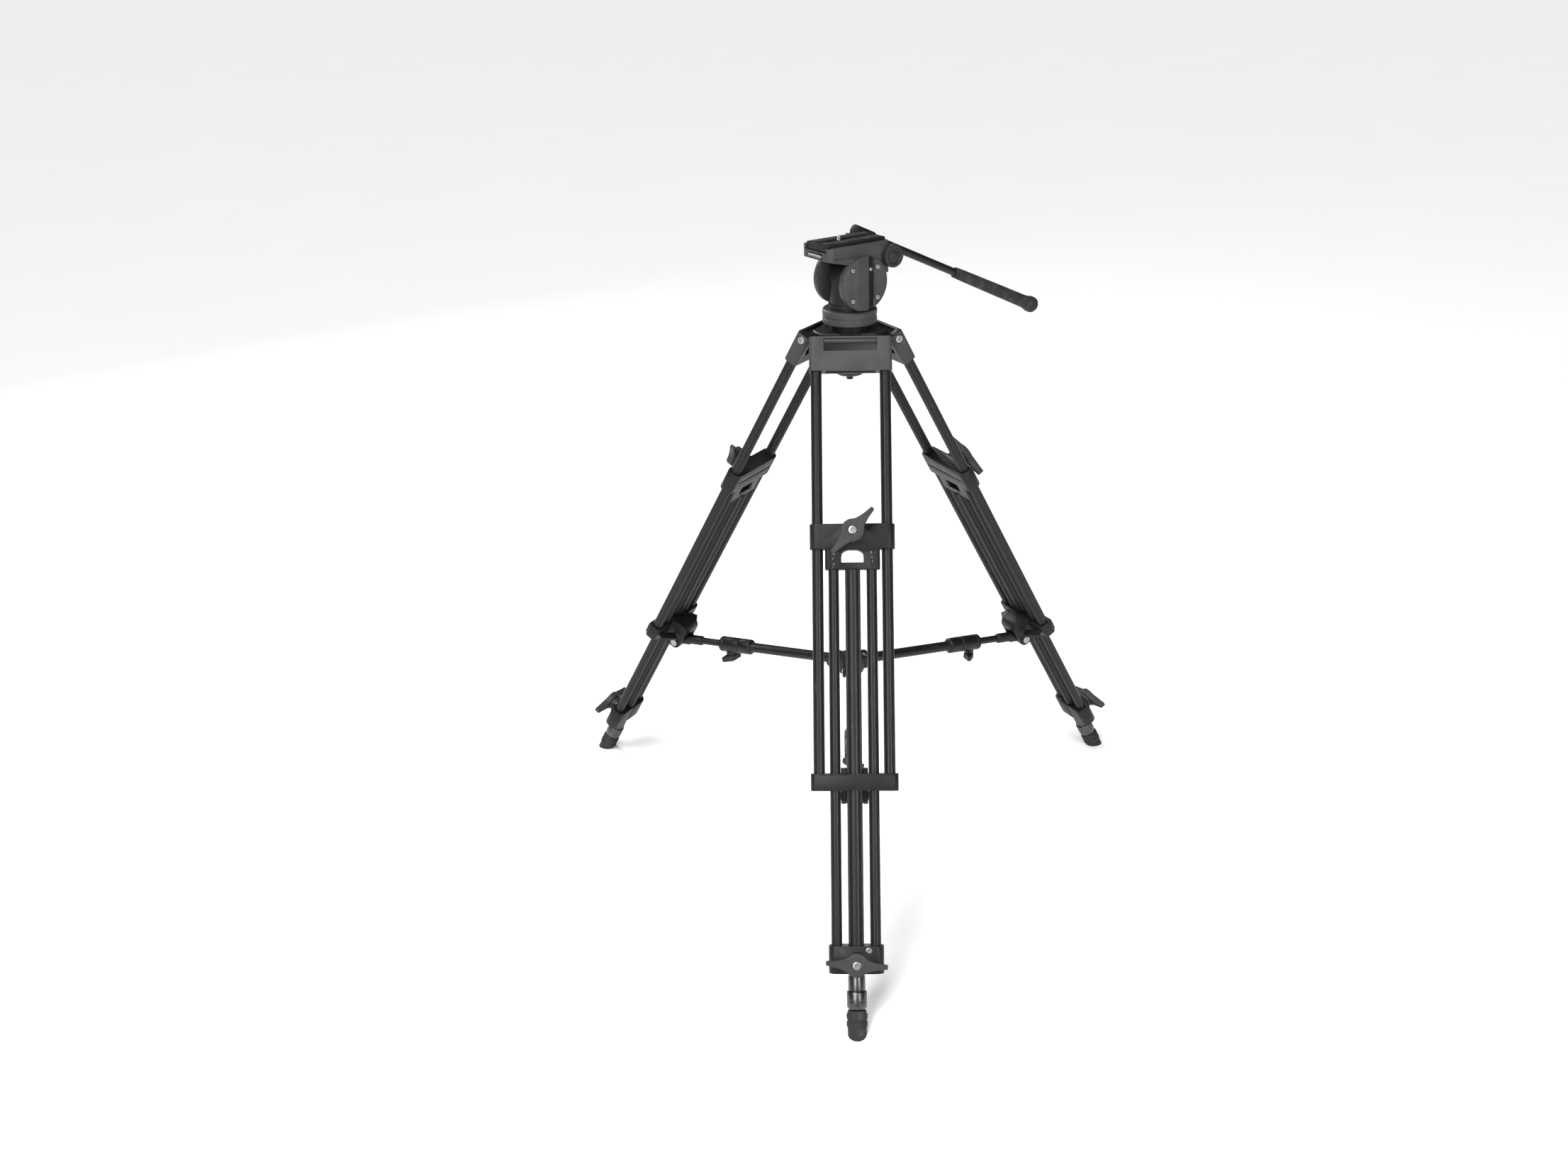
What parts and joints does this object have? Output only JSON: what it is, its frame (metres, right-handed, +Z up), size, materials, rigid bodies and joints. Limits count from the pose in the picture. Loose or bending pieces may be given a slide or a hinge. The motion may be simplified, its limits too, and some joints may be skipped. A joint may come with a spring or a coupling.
{
  "type": "tripod with fluid head",
  "caption": "Video tripod with twin-tube telescopic legs, a mid-level spreader and a bowl-mounted fluid head with a sliding camera plate and pan bar.",
  "frame": {"origin": "middle of the bounding box's footprint, on the floor", "axes": "+Z up; one leg points toward -Y, the other two lie 30 degrees above +X and -X; the head's lateral axis lies at 36 degrees from Y, with its forward end toward -X and -Y"},
  "size_m": [0.9356, 0.8284, 0.9966],
  "materials": {
    "grey_casting": "charcoal powder coat",
    "black_casting": "black powder coat",
    "black_tube": "black anodised, lengthwise flutes",
    "black_plastic": "moulded, satin",
    "rubber": "matte",
    "steel": "zinc plated"
  },
  "bodies": {
    "crown": {"crown_casting": "black_casting", "hinge_bolts": "steel"},
    "leg_front": {"yoke_front": "grey_casting", "upper_tubes_front": "black_tube", "mid_bracket_front": "black_casting"},
    "stage_front": {"clamp_block_front": "black_casting", "side_tubes_front": "black_tube", "lower_lock_front": "black_casting"},
    "foot_front": {"foot_tube_front": "black_tube", "rubber_foot_front": "rubber"},
    "stage_knob_front": {"upper_knob_front": "black_plastic"},
    "foot_knob_front": {"lower_knob_front": "black_plastic"},
    "arm_front": {"arm_tube_front": "black_plastic"},
    "arm_knob_front": {"arm_knob_front": "black_plastic"},
    "arm_rod_front": {"arm_rod_front": "black_tube"},
    "leg_right": {"yoke_right": "grey_casting", "upper_tubes_right": "black_tube", "mid_bracket_right": "black_casting"},
    "stage_right": {"clamp_block_right": "black_casting", "side_tubes_right": "black_tube", "lower_lock_right": "black_casting"},
    "foot_right": {"foot_tube_right": "black_tube", "rubber_foot_right": "rubber"},
    "stage_knob_right": {"upper_knob_right": "black_plastic"},
    "foot_knob_right": {"lower_knob_right": "black_plastic"},
    "arm_right": {"arm_tube_right": "black_plastic"},
    "arm_knob_right": {"arm_knob_right": "black_plastic"},
    "arm_rod_right": {"arm_rod_right": "black_tube"},
    "leg_left": {"yoke_left": "grey_casting", "upper_tubes_left": "black_tube", "mid_bracket_left": "black_casting"},
    "stage_left": {"clamp_block_left": "black_casting", "side_tubes_left": "black_tube", "lower_lock_left": "black_casting"},
    "foot_left": {"foot_tube_left": "black_tube", "rubber_foot_left": "rubber"},
    "stage_knob_left": {"upper_knob_left": "black_plastic"},
    "foot_knob_left": {"lower_knob_left": "black_plastic"},
    "arm_left": {"arm_tube_left": "black_plastic"},
    "arm_knob_left": {"arm_knob_left": "black_plastic"},
    "arm_rod_left": {"arm_rod_left": "black_tube"},
    "hub": {"spreader_hub": "black_plastic"},
    "head_base": {"half_ball": "black_casting", "tie_down_cup": "black_casting", "pan_base": "black_casting"},
    "tie_knob": {"tie_down_knob": "black_plastic"},
    "pan_knob": {"pan_lock": "black_plastic"},
    "pan": {"pan_body": "grey_casting"},
    "tilt": {"tilt_cradle": "grey_casting", "side_covers": "grey_casting"},
    "tilt_lever": {"tilt_lock": "black_plastic"},
    "plate": {"quick_plate": "black_casting", "plate_pads": "rubber", "camera_screw": "steel"},
    "release_key": {"release_lever": "steel"},
    "side_knob": {"side_knob": "black_plastic"},
    "bar": {"bar_clamp": "black_casting", "pan_bar": "black_tube", "bar_grip": "rubber"},
    "bar_knob": {"bar_knob": "black_plastic"}
  },
  "joints": [
    {"name": "spread", "type": "hinge", "parent": "crown", "child": "leg_front", "pos_m": [0, 0.07507, 0.84848], "axis": [-1, 0, 0], "range_deg": [-3, 12]},
    {"name": "leg_hinge_right", "type": "hinge", "parent": "crown", "child": "leg_right", "pos_m": [0.04244, 0.14857, 0.84848], "axis": [0.5, -0.866, 0], "range_deg": [-3.01, 12.01]},
    {"name": "leg_hinge_left", "type": "hinge", "parent": "crown", "child": "leg_left", "pos_m": [-0.04244, 0.14857, 0.84848], "axis": [0.5, 0.866, 0], "range_deg": [-3.01, 12.01]},
    {"name": "hub_rise", "type": "slide", "parent": "crown", "child": "hub", "axis": [0, 0, 1], "range_m": [-0.0086, 0.0341]},
    {"name": "arm_hinge_front", "type": "hinge", "parent": "hub", "child": "arm_front", "pos_m": [0, 0.09407, 0.30748], "axis": [-1, 0, 0], "range_deg": [-1.82, 7.2]},
    {"name": "arm_slide_front", "type": "slide", "parent": "arm_front", "child": "arm_rod_front", "axis": [0, -0.9927, -0.121], "range_m": [-0.0284, 0.1133]},
    {"name": "arm_knob_turn_front", "type": "hinge", "parent": "arm_front", "child": "arm_knob_front", "pos_m": [0, -0.10851, 0.25861], "axis": [0, 0.121, -0.9927], "continuous": true},
    {"name": "stage_slide_front", "type": "slide", "parent": "leg_front", "child": "stage_front", "axis": [0, -0.4879, -0.8729], "range_m": [-0.185, 0.27]},
    {"name": "foot_slide_front", "type": "slide", "parent": "stage_front", "child": "foot_front", "axis": [0, -0.4879, -0.8729], "range_m": [0, 0.45]},
    {"name": "stage_knob_turn_front", "type": "hinge", "parent": "stage_front", "child": "stage_knob_front", "pos_m": [0, -0.08256, 0.62383], "axis": [0, -0.8729, 0.4879], "continuous": true},
    {"name": "foot_knob_turn_front", "type": "hinge", "parent": "stage_front", "child": "foot_knob_front", "pos_m": [0, -0.3759, 0.101], "axis": [0, -0.8729, 0.4879], "continuous": true},
    {"name": "arm_hinge_right", "type": "hinge", "parent": "hub", "child": "arm_right", "pos_m": [0.02598, 0.13907, 0.30748], "axis": [0.5, -0.866, 0], "range_deg": [-1.82, 7.2]},
    {"name": "arm_slide_right", "type": "slide", "parent": "arm_right", "child": "arm_rod_right", "axis": [0.8597, 0.4963, -0.121], "range_m": [-0.0284, 0.1133]},
    {"name": "arm_knob_turn_right", "type": "hinge", "parent": "arm_right", "child": "arm_knob_right", "pos_m": [0.20142, 0.24036, 0.25861], "axis": [-0.1048, -0.0605, -0.9927], "continuous": true},
    {"name": "stage_slide_right", "type": "slide", "parent": "leg_right", "child": "stage_right", "axis": [0.4225, 0.2439, -0.8729], "range_m": [-0.185, 0.27]},
    {"name": "foot_slide_right", "type": "slide", "parent": "stage_right", "child": "foot_right", "axis": [0.4225, 0.2439, -0.8729], "range_m": [0, 0.45]},
    {"name": "stage_knob_turn_right", "type": "hinge", "parent": "stage_right", "child": "stage_knob_right", "pos_m": [0.17894, 0.22738, 0.62383], "axis": [0.756, 0.4365, 0.4879], "continuous": true},
    {"name": "foot_knob_turn_right", "type": "hinge", "parent": "stage_right", "child": "foot_knob_right", "pos_m": [0.43299, 0.37406, 0.101], "axis": [0.756, 0.4365, 0.4879], "continuous": true},
    {"name": "arm_hinge_left", "type": "hinge", "parent": "hub", "child": "arm_left", "pos_m": [-0.02598, 0.13907, 0.30748], "axis": [0.5, 0.866, 0], "range_deg": [-1.82, 7.2]},
    {"name": "arm_slide_left", "type": "slide", "parent": "arm_left", "child": "arm_rod_left", "axis": [-0.8597, 0.4963, -0.121], "range_m": [-0.0284, 0.1133]},
    {"name": "arm_knob_turn_left", "type": "hinge", "parent": "arm_left", "child": "arm_knob_left", "pos_m": [-0.20142, 0.24036, 0.25861], "axis": [0.1048, -0.0605, -0.9927], "continuous": true},
    {"name": "stage_slide_left", "type": "slide", "parent": "leg_left", "child": "stage_left", "axis": [-0.4225, 0.2439, -0.8729], "range_m": [-0.185, 0.27]},
    {"name": "foot_slide_left", "type": "slide", "parent": "stage_left", "child": "foot_left", "axis": [-0.4225, 0.2439, -0.8729], "range_m": [0, 0.45]},
    {"name": "stage_knob_turn_left", "type": "hinge", "parent": "stage_left", "child": "stage_knob_left", "pos_m": [-0.17894, 0.22738, 0.62383], "axis": [-0.756, 0.4365, 0.4879], "continuous": true},
    {"name": "foot_knob_turn_left", "type": "hinge", "parent": "stage_left", "child": "foot_knob_left", "pos_m": [-0.43299, 0.37406, 0.101], "axis": [-0.756, 0.4365, 0.4879], "continuous": true},
    {"name": "level", "type": "hinge", "parent": "crown", "child": "head_base", "pos_m": [0, 0.12407, 0.86048], "axis": [1, 0, 0], "range_deg": [-8, 8]},
    {"name": "tie_knob_turn", "type": "hinge", "parent": "head_base", "child": "tie_knob", "pos_m": [0, 0.12407, 0.80048], "axis": [0, 0, 1], "continuous": true},
    {"name": "pan_knob_turn", "type": "hinge", "parent": "head_base", "child": "pan_knob", "pos_m": [0, 0.17307, 0.87948], "axis": [0, 1, 0], "continuous": true},
    {"name": "pan_turn", "type": "hinge", "parent": "head_base", "child": "pan", "pos_m": [0, 0.12407, 0.89348], "axis": [0, 0, 1], "continuous": true},
    {"name": "tilt", "type": "hinge", "parent": "pan", "child": "tilt", "pos_m": [0, 0.12407, 0.93048], "axis": [0.5878, -0.809, 0], "range_deg": [-20, 75]},
    {"name": "tilt_lever_turn", "type": "hinge", "parent": "tilt", "child": "tilt_lever", "pos_m": [-0.02527, 0.15886, 0.93048], "axis": [-0.5878, 0.809, 0], "range_deg": [0, 60]},
    {"name": "plate_slide", "type": "slide", "parent": "tilt", "child": "plate", "axis": [-0.809, -0.5878, 0], "range_m": [-0.025, 0.03]},
    {"name": "release_press", "type": "slide", "parent": "tilt", "child": "release_key", "axis": [-0.809, -0.5878, 0], "range_m": [-0.002, 0], "stiffness_N_per_m": 400},
    {"name": "side_knob_turn", "type": "hinge", "parent": "tilt", "child": "side_knob", "pos_m": [0.06131, 0.11794, 0.96498], "axis": [0.5878, -0.809, 0], "continuous": true},
    {"name": "bar_swing", "type": "hinge", "parent": "tilt", "child": "bar", "pos_m": [0.01135, 0.18671, 0.96848], "axis": [0.5878, -0.809, 0], "range_deg": [-5, 80]},
    {"name": "bar_knob_turn", "type": "hinge", "parent": "bar", "child": "bar_knob", "pos_m": [0.00195, 0.19965, 0.96848], "axis": [-0.5878, 0.809, 0], "continuous": true}
  ],
  "couplings": [
    {"joint": "leg_hinge_right", "follows": "spread", "ratio": 1},
    {"joint": "leg_hinge_left", "follows": "spread", "ratio": 1},
    {"joint": "hub_rise", "follows": "spread", "m_per_rad": 0.16206},
    {"joint": "arm_hinge_front", "follows": "spread", "ratio": 0.5967},
    {"joint": "arm_slide_front", "follows": "spread", "m_per_rad": 0.54007},
    {"joint": "arm_hinge_right", "follows": "spread", "ratio": 0.5967},
    {"joint": "arm_slide_right", "follows": "spread", "m_per_rad": 0.54007},
    {"joint": "arm_hinge_left", "follows": "spread", "ratio": 0.5967},
    {"joint": "arm_slide_left", "follows": "spread", "m_per_rad": 0.54007}
  ]
}
